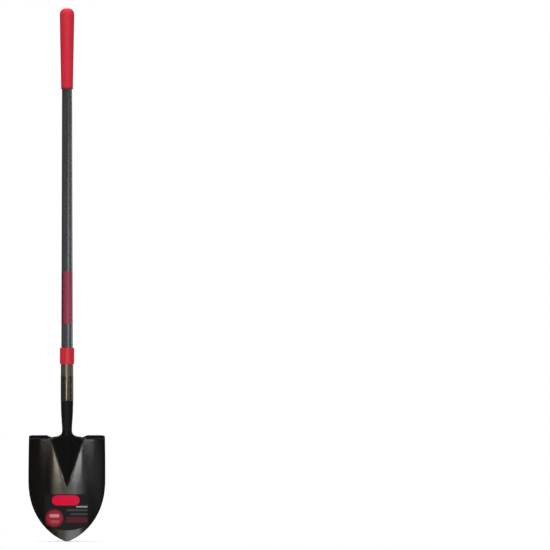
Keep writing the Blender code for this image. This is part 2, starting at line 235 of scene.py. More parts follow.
def spread(low, high, count):
    """count values from just past low up to high, evenly spaced."""
    return [low + (high - low) * (i + 1) / count for i in range(count)]


def on_circle(radius, angle, z):
    """A point round the axis; the angle runs from the front towards +X."""
    return (radius * math.sin(angle), -radius * math.cos(angle), z)


def node_box(node):
    """A node's lowest and highest corners, measured from the pole's axis."""
    low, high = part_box(node)
    return low - AXIS, high - AXIS


def pole_radius(z):
    return POLE_HIGH.x - POLE_TAPER * (z - POLE_SHOULDER_Z)


def sleeve_upper_radius():
    return node_box("collar_sleeve")[1].x - SLEEVE_STEP_DEPTH


# ---------------------------------------------------------------- blade shape, as in the CAD


def half_width(z):
    if z < BLADE_WIDEST_Z:
        below_widest = 1.0 - z / BLADE_WIDEST_Z
        return BLADE_HALF_WIDTH * (1.0 - below_widest**POINT_FULLNESS) ** POINT_ROUNDING
    along = (z - BLADE_WIDEST_Z) / (VALLEY_Z - BLADE_WIDEST_Z)
    return BLADE_HALF_WIDTH - (BLADE_HALF_WIDTH - SHOULDER_HALF_WIDTH) * along**2


def crease_half_width(z):
    along = (z - FROG_POINT_Z) / (VALLEY_Z - FROG_POINT_Z)
    wide = CREASE_HALF_WIDTH_LOW + (CREASE_HALF_WIDTH_TOP - CREASE_HALF_WIDTH_LOW) * max(along, 0.0)
    return min(wide, CREASE_SHARE_LIMIT * half_width(z))


def blade_y(x, z):
    """The dished front face without the frog."""
    down = VALLEY_Z - z
    lean = math.tan(LIFT_AT_TOP)
    bend = (math.tan(LIFT_AT_POINT) - lean) / (2.0 * VALLEY_Z)
    dish = DISH_DEPTH * (abs(x) / BLADE_HALF_WIDTH) ** DISH_POWER
    return BLADE_SET_BACK - lean * down - bend * down**2 - dish


def crest_y(z):
    low = blade_y(0.0, FROG_POINT_Z)
    along = (z - FROG_POINT_Z) / (NECK_Z - FROG_POINT_Z)
    return low + (-NECK_RADIUS - low) * along


def flank_fall(share):
    """How far the frog falls from its crest: over an arc of the neck's radius, then down a straight flank."""
    arc = NECK_RADIUS / CREASE_HALF_WIDTH_TOP
    arc_end = arc * math.sin(FLANK_SLOPE)
    if share < arc_end:
        return arc - math.sqrt(arc**2 - share**2)
    return arc * (1.0 - math.cos(FLANK_SLOPE)) + (share - arc_end) * math.tan(FLANK_SLOPE)


def front_y(x, z):
    """The front face with the frog, whose creases have a small pressed radius."""
    face = blade_y(x, z)
    ridge = blade_y(0.0, z) - crest_y(z)
    if z <= FROG_POINT_Z or ridge <= 0.0:
        return face
    share = abs(x) / crease_half_width(z)
    height = ridge * (1.0 - flank_fall(share) / flank_fall(1.0))
    fillet = CREASE_FILLET * min(ridge / FILLET_FULL_RIDGE, 1.0)
    return face - (height + math.hypot(height, fillet)) / 2.0


def socket_radius(z):
    body = smooth_step((z - NECK_Z) / (SOCKET_SHOULDER_Z - NECK_Z))
    flare = max((z - SOCKET_SHOULDER_Z) / (SOCKET_TOP_Z - SOCKET_SHOULDER_Z), 0.0)
    widened = NECK_RADIUS + (SOCKET_RADIUS - NECK_RADIUS) * body
    return widened + (SOCKET_TOP_RADIUS - SOCKET_RADIUS) * flare


def rolled_point(u, z, radius):
    """A point on the rolled socket; u runs from -1 to 1 round the front, from seam edge to seam edge."""
    return on_circle(radius, u * (math.pi - SEAM_HALF_GAP / radius), z)


def neck_point(u, close):
    """Between the frog's open section, where close is 0, and the rolled socket, where it is 1."""
    up = 1.0 - (1.0 - close) ** (1.0 / NECK_ROLL_POWER)
    z = VALLEY_Z + (SEAM_CLOSED_Z - VALLEY_Z) * up
    x = u * CREASE_HALF_WIDTH_TOP
    open_point = (x, front_y(x, VALLEY_Z), z)
    closed_point = rolled_point(u, z, socket_radius(z))
    return tuple(a + (b - a) * close for a, b in zip(open_point, closed_point))


def wing_station(j):
    return 1.0 + (j / WING_COLUMNS) ** WING_CROWDING


def column_x(station, z):
    """Where a column stands at a height: up to station 1 on the frog's strip, and from 1 to 2 on the wing."""
    crease = crease_half_width(z)
    side = math.copysign(1.0, station)
    reach = abs(station)
    if reach <= 1.0:
        return side * reach * crease
    return side * (crease + (reach - 1.0) * (half_width(z) - crease))


def step_size(station):
    wing = abs(station) - 1.0
    return STEP_INNER_SHARE + (1.0 - STEP_INNER_SHARE) * smooth_step(wing / STEP_FADE_WING)


def step_length(station):
    """The step's straight part, shorter at its rounded outer corner."""
    corner = smooth_step((abs(station) - 1.0 - STEP_CORNER_WING) / (1.0 - STEP_CORNER_WING))
    return STEP_LENGTH * (1.0 - (1.0 - STEP_CORNER_SHARE) * corner)


def step_path(station):
    """Points of the step as (forward, up) from its root: a bend and then a straight flange."""
    size = step_size(station)
    points = []
    for turn in spread(-LIFT_AT_TOP, STEP_SLOPE, STEP_BEND_ROWS):
        forward = STEP_BEND_RADIUS * (math.cos(LIFT_AT_TOP) - math.cos(turn))
        up = STEP_BEND_RADIUS * (math.sin(LIFT_AT_TOP) + math.sin(turn))
        points.append((forward, up))
    forward, up = points[-1]
    for length in spread(0.0, step_length(station), STEP_LENGTH_ROWS):
        points.append((forward + length * math.sin(STEP_SLOPE), up + length * math.cos(STEP_SLOPE)))
    return [(size * forward, size * up) for forward, up in points]


def column_top(station):
    """Where the blade's column ends: at the valley beside the frog, or at the step's root."""
    if abs(station) <= 1.0:
        return VALLEY_Z
    bend_rise = STEP_BEND_RADIUS * (math.sin(LIFT_AT_TOP) + math.sin(STEP_SLOPE))
    rise = bend_rise + STEP_LENGTH * math.cos(STEP_SLOPE)
    level = VALLEY_Z + (STEP_EDGE_Z - VALLEY_Z) * smooth_step((abs(station) - 1.0) / STEP_FADE_WING)
    return level - rise * step_size(station)


# ---------------------------------------------------------------- mesh helpers


def add_patch(bm, grid):
    """Faces between the rows of a grid of vertices."""
    for low, high in zip(grid, grid[1:]):
        for j in range(len(low) - 1):
            bm.faces.new((low[j], low[j + 1], high[j + 1], high[j]))


def soften(profile, size, steps=4, closed=False):
    """Round each corner of a profile of (radius, z) points, using up at most size of the edges beside it.

    A short edge gives up less than half of its length to each of its two corners.
    """
    share = 0.45
    points = [Vector(p) for p in profile]
    out = []
    for i, corner in enumerate(points):
        if not closed and i in (0, len(points) - 1):
            out.append(tuple(corner))
            continue
        before = points[i - 1] - corner
        after = points[(i + 1) % len(points)] - corner
        start = corner + before.normalized() * min(size, share * before.length)
        end = corner + after.normalized() * min(size, share * after.length)
        for k in range(steps + 1):
            t = k / steps
            out.append(tuple((1.0 - t) ** 2 * start + 2.0 * t * (1.0 - t) * corner + t * t * end))
    return out


def turned(profile, closed=False, segments=ROUND_SEGMENTS):
    """Turn (radius, z) points round the vertical axis. A closed profile makes a tube."""
    bm = bmesh.new()
    angles = [2.0 * math.pi * i / segments for i in range(segments)]
    rings = []
    for radius, z in profile:
        ring_angles = angles if radius > 0.0 else angles[:1]
        rings.append([bm.verts.new(on_circle(radius, angle, z)) for angle in ring_angles])
    pairs = list(zip(rings, rings[1:]))
    if closed:
        pairs.append((rings[-1], rings[0]))
    for upper, lower in pairs:
        for i in range(segments):
            j = (i + 1) % segments
            above = [upper[i % len(upper)], upper[j % len(upper)]]
            below = [lower[j % len(lower)], lower[i % len(lower)]]
            bm.faces.new(list(dict.fromkeys(above + below)))
    bmesh.ops.recalc_face_normals(bm, faces=bm.faces)
    return bm


def raise_lines(bm, angles, width, height, beyond):
    """Raise narrow lines along a turned piece, outside the radius beyond. A negative height sinks them."""
    for vert in bm.verts:
        radius = math.hypot(vert.co.x, vert.co.y)
        if radius < beyond:
            continue
        around = math.atan2(vert.co.x, -vert.co.y)
        lift = 0.0
        for angle in angles:
            apart = math.remainder(around - angle, 2.0 * math.pi) * radius
            lift += height * math.exp(-((apart / width) ** 2))
        vert.co.x *= 1.0 + lift / radius
        vert.co.y *= 1.0 + lift / radius


def lay_along_y(bm, z):
    """Turn a piece made along +Z so that it lies along Y, its top towards the front, at height z."""
    lay = Matrix.Rotation(math.pi / 2, 4, "X")
    bmesh.ops.transform(bm, matrix=Matrix.Translation((0.0, 0.0, z)) @ lay, verts=bm.verts)
    return bm


def mark_rim(bm, reach):
    """Write how near each vertex is to a free edge in the attribute "rim": 1 on the edge, 0 at reach."""
    edge_points = [vert.co.copy() for vert in bm.verts if vert.is_boundary]
    tree = KDTree(len(edge_points))
    for i, point in enumerate(edge_points):
        tree.insert(point, i)
    tree.balance()
    rim = bm.verts.layers.float.new("rim")
    for vert in bm.verts:
        distance = tree.find(vert.co)[2]
        vert[rim] = max(1.0 - distance / reach, 0.0)


def stand(name, bm, node, material):
    """Make the mesh an object on the pole's axis that stands in for a CAD node."""
    mesh = bpy.data.meshes.new(name)
    bm.to_mesh(mesh)
    bm.free()
    mesh.shade_smooth()
    mesh.materials.append(material)
    obj = bpy.data.objects.new(name, mesh)
    bpy.context.scene.collection.objects.link(obj)
    obj.location = AXIS
    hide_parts(node)
    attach(obj, "root")
    return obj


def thicken(obj, thickness, offset):
    """Give a sheet its thickness: behind it where offset is -1, in front where it is 1."""
    skin = obj.modifiers.new("thickness", "SOLIDIFY")
    skin.thickness = thickness
    skin.offset = offset


def round_edges(obj, width):
    edges = obj.modifiers.new("rounded edges", "BEVEL")
    edges.width = width
    edges.segments = 2
    edges.limit_method = "ANGLE"
    edges.angle_limit = SHARP_EDGE_ANGLE


def weigh_normals(obj):
    """Keep the broad faces' shading flat beside their narrow rounded edges."""
    normals = obj.modifiers.new("normals", "WEIGHTED_NORMAL")
    normals.keep_sharp = True


# ---------------------------------------------------------------- material helpers


class Surface:
    """A material in the making."""

    def __init__(self, name, **sockets):
        """The sockets are values that are the same all over, with _ for each space in their names."""
        self.material = bpy.data.materials.new(name)
        self.material.use_nodes = True
        self.tree = self.material.node_tree
        self.shader = self.tree.nodes["Principled BSDF"]
        for key, value in sockets.items():
            self.set(key.replace("_", " "), value)

    def set(self, socket, value):
        self.feed(self.shader.inputs[socket], value)

    def feed(self, socket, value):
        if isinstance(value, bpy.types.NodeSocket):
            self.tree.links.new(value, socket)
        elif isinstance(value, tuple) and len(value) == 3 and socket.type == "RGBA":
            socket.default_value = (*value, 1.0)
        else:
            socket.default_value = value

    def node(self, kind, **settings):
        node = self.tree.nodes.new(kind)
        for key, value in settings.items():
            setattr(node, key, value)
        return node

    def object_place(self):
        return self.node("ShaderNodeTexCoord").outputs["Object"]

    def axes(self, place):
        """The outputs "X", "Y" and "Z" of a place."""
        split = self.node("ShaderNodeSeparateXYZ")
        self.feed(split.inputs["Vector"], place)
        return split.outputs

    def scaled(self, place, scale):
        mapping = self.node("ShaderNodeMapping")
        self.feed(mapping.inputs["Vector"], place)
        self.feed(mapping.inputs["Scale"], scale)
        return mapping.outputs["Vector"]

    def noise(self, place, scale, detail=3.0, roughness=0.55):
        texture = self.node("ShaderNodeTexNoise")
        self.feed(texture.inputs["Vector"], place)
        self.feed(texture.inputs["Scale"], scale)
        self.feed(texture.inputs["Detail"], detail)
        self.feed(texture.inputs["Roughness"], roughness)
        return texture.outputs["Fac"]

    def math(self, operation, a, b=0.0):
        node = self.node("ShaderNodeMath", operation=operation)
        self.feed(node.inputs[0], a)
        self.feed(node.inputs[1], b)
        return node.outputs[0]

    def ranged(self, value, low, high, to_low=0.0, to_high=1.0):
        """Take value from low..high to to_low..to_high, smoothly and without leaving that range."""
        ranging = self.node("ShaderNodeMapRange", interpolation_type="SMOOTHSTEP")
        self.feed(ranging.inputs["Value"], value)
        self.feed(ranging.inputs["From Min"], low)
        self.feed(ranging.inputs["From Max"], high)
        self.feed(ranging.inputs["To Min"], to_low)
        self.feed(ranging.inputs["To Max"], to_high)
        return ranging.outputs["Result"]

    def mix(self, share, a, b):
        """Colour a where share is 0 and b where it is 1."""
        mixing = self.node("ShaderNodeMix", data_type="RGBA")
        self.feed(mixing.inputs[0], share)
        self.feed(mixing.inputs[6], a)
        self.feed(mixing.inputs[7], b)
        return mixing.outputs[2]

    def bump(self, height, depth, below=None):
        """Relief of that depth in metres, on top of another bump where one is given."""
        relief = self.node("ShaderNodeBump")
        self.feed(relief.inputs["Height"], height)
        self.feed(relief.inputs["Distance"], depth)
        if below is not None:
            self.feed(relief.inputs["Normal"], below)
        return relief.outputs["Normal"]

    def overshoot_squared(self, value, centre, half):
        """The square of how far value lies outside the range of that half width round centre."""
        away = self.math("ABSOLUTE", self.math("SUBTRACT", value, centre))
        outside = self.math("MAXIMUM", self.math("SUBTRACT", away, half), 0.0)
        return self.math("POWER", outside, 2.0)

    def rounded_bar(self, x, z, centre, half, rounding):
        """1 inside a rounded rectangle of a print, 0 outside."""
        square_x = self.overshoot_squared(x, centre[0], half[0] - rounding)
        square_z = self.overshoot_squared(z, centre[1], half[1] - rounding)
        distance = self.math("SQRT", self.math("ADD", square_x, square_z))
        return self.ranged(distance, rounding - PRINT_SOFTNESS, rounding + PRINT_SOFTNESS, 1.0, 0.0)


# ---------------------------------------------------------------- materials


def black_lacquer():
    """Baked black lacquer on pressed steel: glossy on the blade, dusty and duller on the socket."""
    s = Surface("black_blade_lacquer")
    place = s.object_place()
    z = s.axes(place)["Z"]
    cloud = s.noise(place, 22.0, 4.0)
    flow = s.noise(s.scaled(place, (70.0, 70.0, 9.0)), 1.0, 3.0)
    worn = s.node("ShaderNodeAttribute", attribute_name="rim").outputs["Fac"]
    chips = s.ranged(s.noise(place, 260.0, 5.0, 0.7), 0.50, 0.66)
    dusty = s.ranged(z, DUST_FROM_Z, DUST_FULL_Z)
    glossy_paint = s.mix(cloud, (0.0034, 0.0034, 0.0035), (0.0058, 0.0054, 0.0048))
    paint = s.mix(dusty, glossy_paint, (0.0062, 0.0062, 0.0062))
    thin = s.math("MULTIPLY", s.math("POWER", worn, 2.0), s.math("MULTIPLY", chips, 0.7))
    s.set("Base Color", s.mix(thin, paint, (0.030, 0.028, 0.026)))
    gloss = s.ranged(flow, 0.3, 0.7, 0.11, 0.16)
    s.set("Roughness", s.math("ADD", gloss, s.math("MULTIPLY", dusty, 0.30)))
    s.set("Specular IOR Level", s.ranged(dusty, 0.0, 1.0, 0.5, 0.3))
    pressed = s.bump(s.noise(place, 55.0, 2.0), 0.00006)
    peel = s.bump(s.noise(place, 700.0, 2.0), 0.00002, pressed)
    s.set("Normal", peel)
    return s.material


def bronze_steel():
    """Lacquered steel of the sleeve: drawn and brushed above its step, smooth and darker below."""
    s = Surface("lacquered_steel", Metallic=0.85, Coat_Weight=0.15, Coat_Roughness=0.2)
    place = s.object_place()
    z = s.axes(place)["Z"]
    upper = s.ranged(z, SLEEVE_STEP_Z - SLEEVE_TONE_FADE, SLEEVE_STEP_Z + SLEEVE_TONE_FADE)
    rings = s.noise(s.scaled(place, (6.0, 6.0, 1500.0)), 1.0, 4.0, 0.7)
    cloud = s.noise(place, 60.0, 4.0)
    light = s.mix(cloud, (0.30, 0.275, 0.21), (0.40, 0.37, 0.29))
    drawn = s.mix(s.math("MULTIPLY", rings, 0.35), light, (0.16, 0.14, 0.10))
    dark = s.mix(cloud, (0.130, 0.115, 0.099), (0.175, 0.157, 0.138))
    s.set("Base Color", s.mix(upper, dark, drawn))
    grain = s.math("MULTIPLY", s.math("MULTIPLY", rings, upper), 0.06)
    s.set("Roughness", s.math("ADD", s.ranged(upper, 0.0, 1.0, 0.24, 0.34), grain))
    brushed = s.bump(s.math("MULTIPLY", rings, upper), 0.00003)
    s.set("Normal", s.bump(s.noise(place, 40.0, 1.0), 0.000006, brushed))
    return s.material


def red_plastic():
    """Glossy injection-moulded red plastic with faint flow marks."""
    s = Surface("red_plastic", Specular_IOR_Level=0.35)
    place = s.object_place()
    flow = s.noise(s.scaled(place, (90.0, 90.0, 25.0)), 1.0, 3.0)
    s.set("Base Color", s.mix(flow, (0.64, 0.017, 0.036), (0.74, 0.026, 0.050)))
    s.set("Roughness", s.ranged(s.noise(place, 240.0, 4.0), 0.3, 0.7, 0.27, 0.36))
    s.set("Normal", s.bump(s.noise(place, 350.0, 2.0), 0.000006))
    return s.material


def grey_fibreglass():
    """Pultruded fibreglass: fine streaks that run the pole's whole length under a thin resin skin."""
    s = Surface("grey_fibreglass")
    place = s.object_place()
    strands = s.noise(s.scaled(place, (900.0, 900.0, 5.0)), 1.0, 3.0, 0.6)
    bands = s.noise(s.scaled(place, (160.0, 160.0, 2.2)), 1.0, 3.0, 0.6)
    streak = s.math("ADD", s.math("MULTIPLY", strands, 0.5), s.math("MULTIPLY", bands, 0.5))
    share = s.ranged(streak, 0.36, 0.64)
    s.set("Base Color", s.mix(share, (0.040, 0.042, 0.045), (0.078, 0.082, 0.089)))
    s.set("Roughness", s.ranged(bands, 0.3, 0.7, 0.18, 0.25))
    s.set("Normal", s.bump(streak, 0.00008))
    return s.material


def red_rubber():
    """Moulded red rubber with a fine matte pebble and a faint bloom, and painted shade darkening its bottom
    lip.
    """
    s = Surface("red_rubber", Specular_IOR_Level=0.15)
    bottom = node_box("grip")[0].z
    place = s.object_place()
    z = s.axes(place)["Z"]
    bloom = s.noise(place, 30.0, 4.0)
    mottle = s.noise(place, 420.0, 3.0)
    rubber = s.mix(bloom, (0.58, 0.018, 0.040), (0.65, 0.025, 0.052))
    pebbled = s.mix(s.math("MULTIPLY", mottle, 0.2), rubber, (0.44, 0.012, 0.026))
    # Painted shade: the colour darkens over the bottom lip, where shade falls just above the pole.
    painted_lip_shade = s.ranged(z, bottom + GRIP_LIP, bottom + 2.0 * GRIP_LIP, 0.6, 0.0)
    s.set("Base Color", s.mix(painted_lip_shade, pebbled, (0.050, 0.010, 0.012)))
    s.set("Roughness", s.ranged(bloom, 0.3, 0.7, 0.50, 0.62))
    s.set("Normal", s.bump(s.noise(place, 1500.0, 2.0), 0.00005))
    return s.material


def bright_steel():
    """Plated steel of the rivet and its washer, with fine scratches and slight discolouring."""
    s = Surface("rivet_steel", Metallic=1.0)
    place = s.object_place()
    stain = s.noise(place, 320.0, 4.0)
    scratch = s.noise(s.scaled(place, (3500.0, 200.0, 500.0)), 1.0, 3.0)
    s.set("Base Color", s.mix(stain, (0.34, 0.30, 0.25), (0.50, 0.46, 0.40)))
    s.set("Roughness", s.ranged(scratch, 0.3, 0.7, 0.26, 0.40))
    s.set("Normal", s.bump(scratch, 0.00001))
    return s.material


def pole_film():
    """Plain maroon printed film with painted shade darkening its left side, which shows the pole's streaks a
    little.
    """
    s = Surface("pole_label_film", Specular_IOR_Level=0.2)
    place = s.object_place()
    x = s.axes(place)["X"]
    bands = s.noise(s.scaled(place, (300.0, 300.0, 4.0)), 1.0, 3.0)
    blotch = s.noise(place, 35.0, 3.0)
    ink = s.mix(bands, (0.200, 0.026, 0.058), (0.280, 0.040, 0.080))
    printed = s.mix(s.math("MULTIPLY", blotch, 0.5), ink, (0.30, 0.022, 0.040))
    # Painted shade: the film darkens towards its left side, which faces away from the lights.
    painted_left_shade = s.ranged(x, -POLE_LABEL_SHADE_X, -POLE_LABEL_SHADE_X + POLE_LABEL_SHADE_FADE, 1.0, 0.0)
    s.set("Base Color", s.mix(painted_left_shade, printed, (0.030, 0.014, 0.018)))
    s.set("Roughness", s.ranged(bands, 0.3, 0.7, 0.28, 0.36))
    s.set("Normal", s.bump(bands, 0.00004))
    return s.material


def blade_film():
    """Printed film of generic shapes: a pill, a round badge and plain bars on black.

    Each print is a centre, half sizes and corner rounding in x and z, and an ink.
    """
    s = Surface("blade_label_film", Specular_IOR_Level=0.08)
    place = s.object_place()
    axes = s.axes(place)
    grain = s.noise(place, 900.0, 3.0)
    wash = s.noise(place, 70.0, 3.0)
    colour = s.mix(wash, (0.0085, 0.0080, 0.0080), (0.015, 0.0135, 0.0135))
    prints = (
        ((0.0275, 0.0590), (0.0295, 0.0078), 0.0008, (0.088, 0.014, 0.024)),
        ((0.0335, 0.0745), (0.0235, 0.0026), 0.0006, (0.052, 0.055, 0.054)),
        ((0.0285, 0.0855), (0.0285, 0.0026), 0.0006, (0.052, 0.055, 0.054)),
        ((0.0415, 0.0950), (0.0155, 0.0022), 0.0006, (0.300, 0.310, 0.310)),
        ((-0.0340, 0.0635), (0.0250, 0.0250), 0.0249, (0.180, 0.010, 0.020)),
        ((-0.0340, 0.0635), (0.0205, 0.0205), 0.0204, (0.300, 0.024, 0.040)),
        ((-0.0340, 0.0700), (0.0135, 0.0045), 0.0044, (0.620, 0.240, 0.270)),
        ((-0.0330, 0.0540), (0.0110, 0.0040), 0.0039, (0.420, 0.070, 0.090)),
        ((-0.0030, 0.1125), (0.0380, 0.0140), 0.0139, (0.700, 0.004, 0.046)),
    )
    for centre, half, rounding, ink in prints:
        inked = s.mix(s.math("MULTIPLY", grain, 0.25), ink, tuple(0.6 * part for part in ink))
        colour = s.mix(s.rounded_bar(axes["X"], axes["Z"], centre, half, rounding), colour, inked)
    s.set("Base Color", colour)
    s.set("Roughness", s.ranged(wash, 0.3, 0.7, 0.42, 0.50))
    s.set("Normal", s.bump(grain, 0.00001))
    return s.material


def turned_wood():
    """Ash core: growth rings seen along the grain."""
    s = Surface("core_wood", Roughness=0.7)
    place = s.object_place()
    grain = s.noise(s.scaled(place, (420.0, 420.0, 12.0)), 1.0, 5.0)
    rings = s.node("ShaderNodeTexWave", wave_type="RINGS", rings_direction="Z")
    s.feed(rings.inputs["Vector"], s.scaled(place, (130.0, 130.0, 4.0)))
    s.feed(rings.inputs["Distortion"], 3.0)
    s.set("Base Color", s.mix(rings.outputs["Fac"], (0.34, 0.21, 0.11), (0.52, 0.36, 0.20)))
    s.set("Normal", s.bump(grain, 0.0001))
    return s.material


def plug_plastic():
    """Dull black plastic of the end plug."""
    s = Surface("plug_plastic")
    place = s.object_place()
    cloud = s.noise(place, 300.0, 4.0)
    s.set("Base Color", s.mix(cloud, (0.022, 0.022, 0.023), (0.040, 0.040, 0.041)))
    s.set("Roughness", s.ranged(cloud, 0.3, 0.7, 0.45, 0.60))
    s.set("Normal", s.bump(cloud, 0.00003))
    return s.material


def pale_floor():
    """A matte pale floor, dimmer in the tool's reflections so that the undersides of the steps stay dark."""
    s = Surface("pale_floor", Roughness=0.9, Specular_IOR_Level=0.1)
    pale = s.mix(s.noise(s.object_place(), 3.0), (0.90, 0.90, 0.90), (0.93, 0.93, 0.93))
    mirrored = s.node("ShaderNodeLightPath").outputs["Is Glossy Ray"]
    s.set("Base Color", s.mix(mirrored, pale, (0.45, 0.45, 0.45)))
    return s.material


# ---------------------------------------------------------------- pieces


def blade_stations():
    """The columns' stations on the left wing, the frog's strip and the right wing."""
    wing = [wing_station(j) for j in range(1, WING_COLUMNS + 1)]
    strip = [-1.0 + 2.0 * j / STRIP_COLUMNS for j in range(STRIP_COLUMNS + 1)]
    return [-s for s in reversed(wing)], strip, wing


def add_blade_rows(bm, stations):
    """The dished blade with the frog's open lower part; returns its top row."""
    nose_z = SHEET * math.sin(LIFT_AT_POINT)
    rows = []
    for i in range(BLADE_ROWS + 1):
        share = (i / BLADE_ROWS) ** ROW_CROWDING
        row = []
        for station in stations:
            z = nose_z + (column_top(station) - nose_z) * share
            x = column_x(station, z)
            row.append(bm.verts.new((x, front_y(x, z), z)))
        rows.append(row)
    add_patch(bm, rows)
    return rows[-1]


def add_neck_and_socket(bm, valley, strip):
    """The strip rolls up into the socket and narrows to the spigot."""
    rows = [valley]
    for share in spread(0.0, 1.0, ROLL_ROWS):
        close = 1.0 - (1.0 - share) ** ROLL_CROWDING
        rows.append([bm.verts.new(neck_point(u, close)) for u in strip])
    for z in spread(SEAM_CLOSED_Z, SOCKET_TOP_Z, SOCKET_ROWS):
        rows.append([bm.verts.new(rolled_point(u, z, socket_radius(z))) for u in strip])
    for z in (SOCKET_TOP_Z, SPIGOT_TOP_Z):
        rows.append([bm.verts.new(rolled_point(u, z, SPIGOT_RADIUS)) for u in strip])
    add_patch(bm, rows)


def add_step(bm, roots, wing):
    """The foot step of one wing, turned forward."""
    paths = [step_path(station) for station in wing]
    rows = [roots]
    for level in range(STEP_BEND_ROWS + STEP_LENGTH_ROWS):
        row = []
        for path, root in zip(paths, roots):
            forward, up = path[level]
            row.append(bm.verts.new((root.co.x, root.co.y - forward, root.co.z + up)))
        rows.append(row)
    add_patch(bm, rows)


def flows(vert):
    """Whether a vertex is part of the eased metal round the neck's root."""
    beside_neck = FLOW_FROM_Z < vert.co.z < FLOW_TO_Z and abs(vert.co.x) < FLOW_HALF_WIDTH
    return beside_neck and not vert.is_boundary


def ease_neck(bm):
    """Let the pressed sheet flow where frog, steps and neck meet, as drawn steel does."""
    flowing = [vert for vert in bm.verts if flows(vert)]
    every_way = {"use_axis_x": True, "use_axis_y": True, "use_axis_z": True}
    for _ in range(FLOW_ROUNDS):
        bmesh.ops.smooth_vert(bm, verts=flowing, factor=0.5, **every_way)


def make_blade():
    left, strip, right = blade_stations()
    bm = bmesh.new()
    top = add_blade_rows(bm, left + strip + right)
    strip_end = len(left) + len(strip)
    add_neck_and_socket(bm, top[len(left) : strip_end], strip)
    add_step(bm, top[: len(left)], left)
    add_step(bm, top[strip_end:], right)
    ease_neck(bm)
    mark_rim(bm, RIM_REACH)
    blade = stand("blade_and_socket", bm, "blade_socket", black_lacquer())
    thicken(blade, SHEET, -1.0)
    round_edges(blade, SHEET_EDGE_ROUND)
    weigh_normals(blade)


def make_sleeve():
    low, high = node_box("collar_sleeve")
    lower_radius = high.x
    upper_radius = sleeve_upper_radius()
    bore = upper_radius - SLEEVE_WALL
    profile = [
        (upper_radius, high.z),
        (upper_radius, SLEEVE_STEP_Z + SLEEVE_STEP_HEIGHT),
        (lower_radius, SLEEVE_STEP_Z),
        (lower_radius, low.z),
        (bore, low.z),
        (bore, high.z),
    ]
    bm = turned(soften(profile, SLEEVE_EDGE, closed=True), closed=True)
    raise_lines(bm, [BACK], SLEEVE_SEAM_WIDTH, -SLEEVE_SEAM_DEPTH, upper_radius - SLEEVE_WALL / 3.0)
    sleeve = stand("steel_sleeve", bm, "collar_sleeve", bronze_steel())
    weigh_normals(sleeve)


def make_ring():
    low, high = node_box("collar_ring")
    radius = high.x
    lower_bore = sleeve_upper_radius() + GAP
    upper_bore = pole_radius(RING_SHOULDER_Z) + GAP
    profile = [
        (radius - RING_CHAMFER, high.z),
        (radius, high.z - RING_CHAMFER_HEIGHT),
        (radius, low.z + RING_CHAMFER_HEIGHT),
        (radius - RING_CHAMFER, low.z),
        (lower_bore, low.z),
        (lower_bore, RING_SHOULDER_Z),
        (upper_bore, RING_SHOULDER_Z),
        (upper_bore, high.z),
    ]
    bm = turned(soften(profile, RING_EDGE, steps=5, closed=True), closed=True)
    skin = radius - 2.0 * RING_CHAMFER
    raise_lines(bm, BOTH_SIDES, RING_MOULD_LINE_WIDTH, RING_MOULD_LINE_HEIGHT, skin)
    ring = stand("plastic_ring", bm, "collar_ring", red_plastic())
    weigh_normals(ring)


def make_pole():
    low, high = node_box("pole")
    profile = [
        (pole_radius(high.z), high.z),
        (pole_radius(POLE_SHOULDER_Z), POLE_SHOULDER_Z),
        (POLE_TENON_RADIUS, POLE_SHOULDER_Z),
        (POLE_TENON_RADIUS, low.z),
        (POLE_BORE_RADIUS, low.z),
        (POLE_BORE_RADIUS, high.z),
    ]
    bm = turned(soften(profile, POLE_EDGE, closed=True), closed=True)
    pole = stand("fibreglass_pole", bm, "pole", grey_fibreglass())
    weigh_normals(pole)


def grip_dome(top_radius, top_z):
    """The rounded end outside its flat, from the top down."""
    dome = []
    for turn in spread(0.0, math.pi / 2, GRIP_DOME_ROWS):
        radius = GRIP_END_FLAT_RADIUS + (top_radius - GRIP_END_FLAT_RADIUS) * math.sin(turn)
        dome.append((radius, top_z - GRIP_DOME * (1.0 - math.cos(turn))))
    return dome


def make_grip():
    low, high = node_box("grip")
    plug_top = node_box("end_plug")[1].z + GAP
    pole_top = node_box("pole")[1].z
    bore_top = pole_radius(pole_top) + GAP
    dome = grip_dome(high.x, high.z)
    lip_radius = GRIP_BOTTOM_RADIUS + GRIP_LIP_DEPTH
    bottom = [
        (GRIP_BOTTOM_RADIUS, low.z + GRIP_LIP + GRIP_LIP_SLOPE_HEIGHT),
        (lip_radius, low.z + GRIP_LIP),
        (lip_radius, low.z),
        (pole_radius(low.z) + GAP, low.z),
        (bore_top, pole_top),
        (bore_top, plug_top),
        (0.0, plug_top),
    ]
    rounded_bottom = soften([dome[-1]] + bottom, GRIP_EDGE)[1:]
    bm = turned([(0.0, high.z), (GRIP_END_FLAT_RADIUS, high.z)] + dome + rounded_bottom)
    raise_lines(bm, BOTH_SIDES, GRIP_MOULD_LINE_WIDTH, GRIP_MOULD_LINE_HEIGHT, bore_top + GAP)
    grip = stand("rubber_grip", bm, "grip", red_rubber())
    weigh_normals(grip)


def make_rivet(material):
    low, high = node_box("rivet")
    head_radius = high.x
    front = -low.y - RIVET_HEAD_HEIGHT
    back = high.y - RIVET_TAIL_HEIGHT
    dome = [
        (head_radius * math.sin(turn), front + RIVET_HEAD_HEIGHT * math.cos(turn))
        for turn in spread(0.0, math.pi / 2, RIVET_DOME_ROWS)
    ]
    shank_and_tail = [
        (head_radius, front),
        (RIVET_RADIUS, front),
        (RIVET_RADIUS, -back),
        (RIVET_TAIL_RADIUS, -back),
        (RIVET_TAIL_RADIUS, -back - RIVET_TAIL_HEIGHT / 2),
        (RIVET_TAIL_RADIUS / 2, -back - RIVET_TAIL_HEIGHT),
        (0.0, -back - RIVET_TAIL_HEIGHT),
    ]
    profile = [(0.0, front + RIVET_HEAD_HEIGHT)] + dome + soften(shank_and_tail, RIVET_EDGE)[1:]
    bm = lay_along_y(turned(profile, segments=RIVET_SEGMENTS), RIVET_Z)
    rivet = stand("rivet_with_tail", bm, "rivet", material)
    weigh_normals(rivet)


